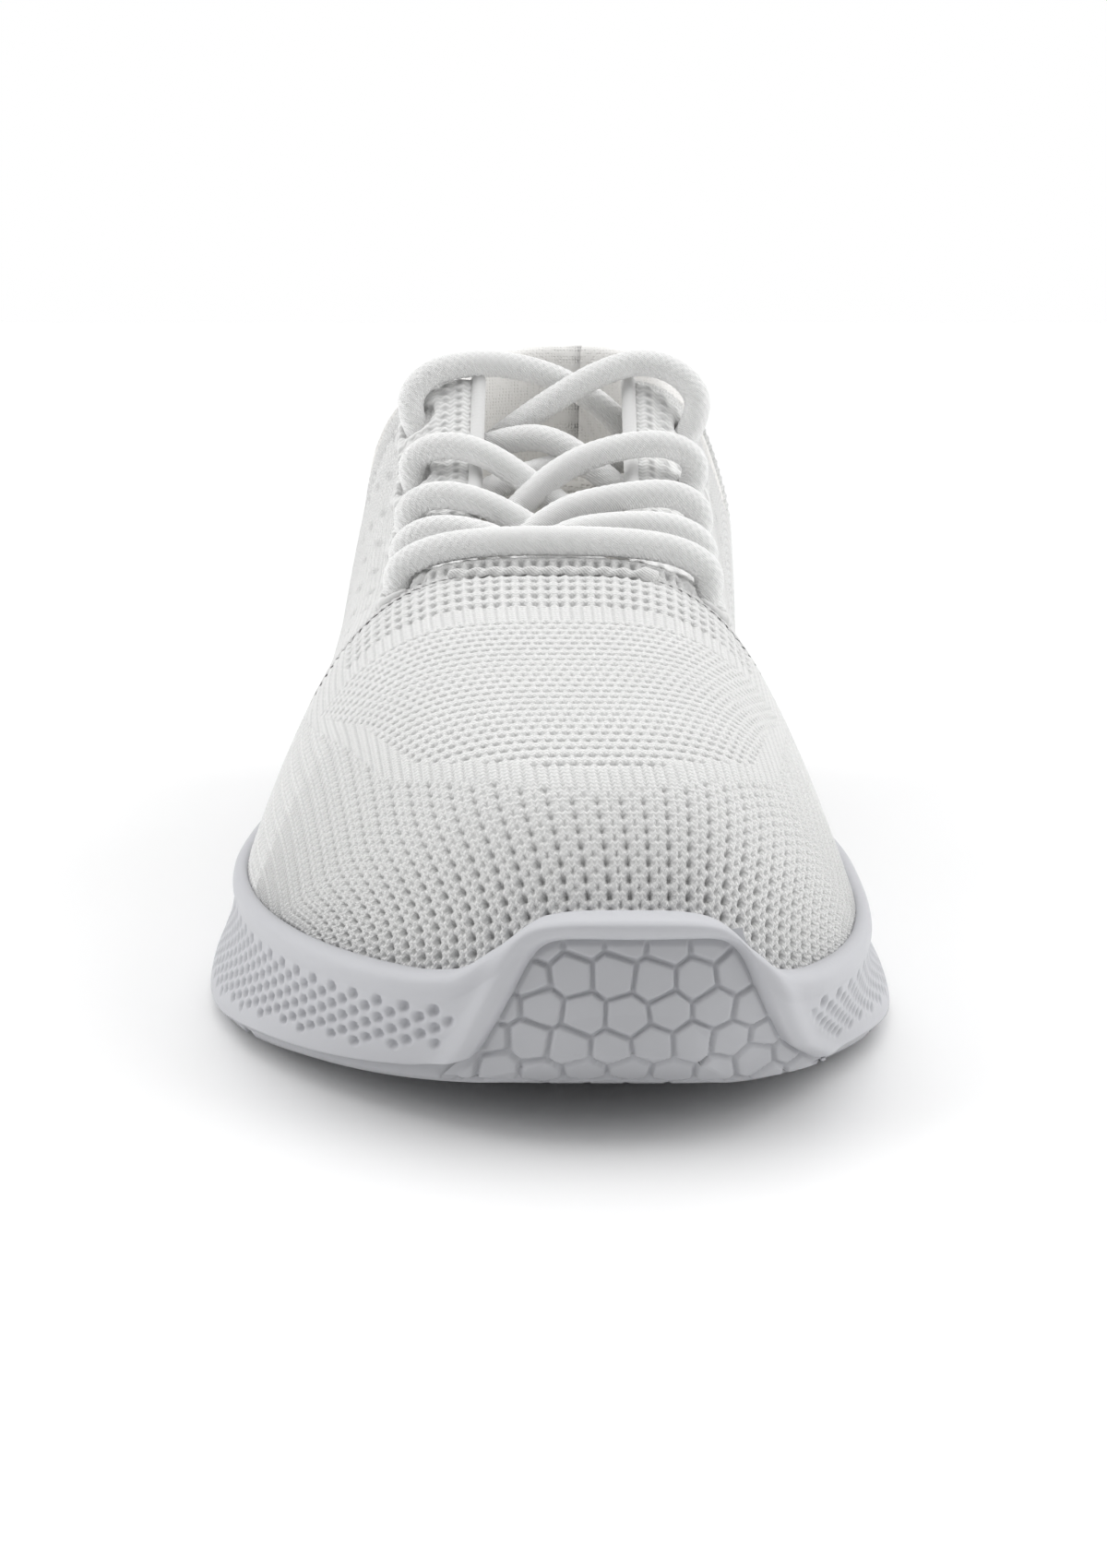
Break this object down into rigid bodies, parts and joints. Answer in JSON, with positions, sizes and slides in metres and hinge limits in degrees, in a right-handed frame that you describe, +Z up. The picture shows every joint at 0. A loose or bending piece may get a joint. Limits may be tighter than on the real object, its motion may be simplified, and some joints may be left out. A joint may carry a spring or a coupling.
{
  "type": "running shoe",
  "caption": "Right knitted running shoe with a foam cup sole, wrapped rubber toe bumper, padded collar, laced throat, tongue and sockliner",
  "frame": {"origin": "middle of the shoe's footprint box, on the ground", "axes": "+Z up, the toe points to -Y, the heel to +Y, +X is the medial (big toe) side of this right shoe"},
  "size_m": [0.1104, 0.2969, 0.1002],
  "materials": {
    "outsole_rubber": "matte",
    "midsole_foam": "matte",
    "knit_yarn": "matte",
    "rib_yarn": "matte",
    "lining_mesh": "matte",
    "collar_cloth": "matte",
    "padding_foam": "matte",
    "stiffener_sheet": "matte",
    "board_felt": "matte",
    "seam_thread": "matte",
    "lace_braid": "matte",
    "aglet_plastic": "gloss"
  },
  "bodies": {
    "root": {"outsole": "outsole_rubber", "midsole": "midsole_foam", "upper_knit": "knit_yarn", "toe_puff": "stiffener_sheet", "heel_counter": "stiffener_sheet", "eyelet_tape_lateral": "stiffener_sheet", "eyelet_tape_medial": "stiffener_sheet", "lining": "lining_mesh", "collar_foam": "padding_foam", "collar_lining": "collar_cloth", "eyestay_lateral": "rib_yarn", "eyestay_medial": "rib_yarn", "throat_binding_lateral": "knit_yarn", "throat_binding_medial": "knit_yarn", "throat_seam": "seam_thread", "heel_tape": "knit_yarn", "strobel_board": "board_felt", "shoelace": "lace_braid", "aglet_lateral": "aglet_plastic", "aglet_medial": "aglet_plastic"},
    "tongue": {"tongue_knit": "knit_yarn", "tongue_foam": "padding_foam", "tongue_lining": "lining_mesh"},
    "sockliner": {"sockliner_foam": "padding_foam", "sockliner_cover": "lining_mesh"}
  },
  "joints": [
    {"name": "tongue_hinge", "type": "hinge", "parent": "root", "child": "tongue", "pos_m": [0.0013, -0.0545, 0.0565], "axis": [-1, 0, 0], "range_deg": [0, 8]},
    {"name": "sockliner_lift", "type": "hinge", "parent": "root", "child": "sockliner", "pos_m": [0.0115, -0.1369, 0.01575], "axis": [1, 0, 0], "range_deg": [0, 3]}
  ]
}
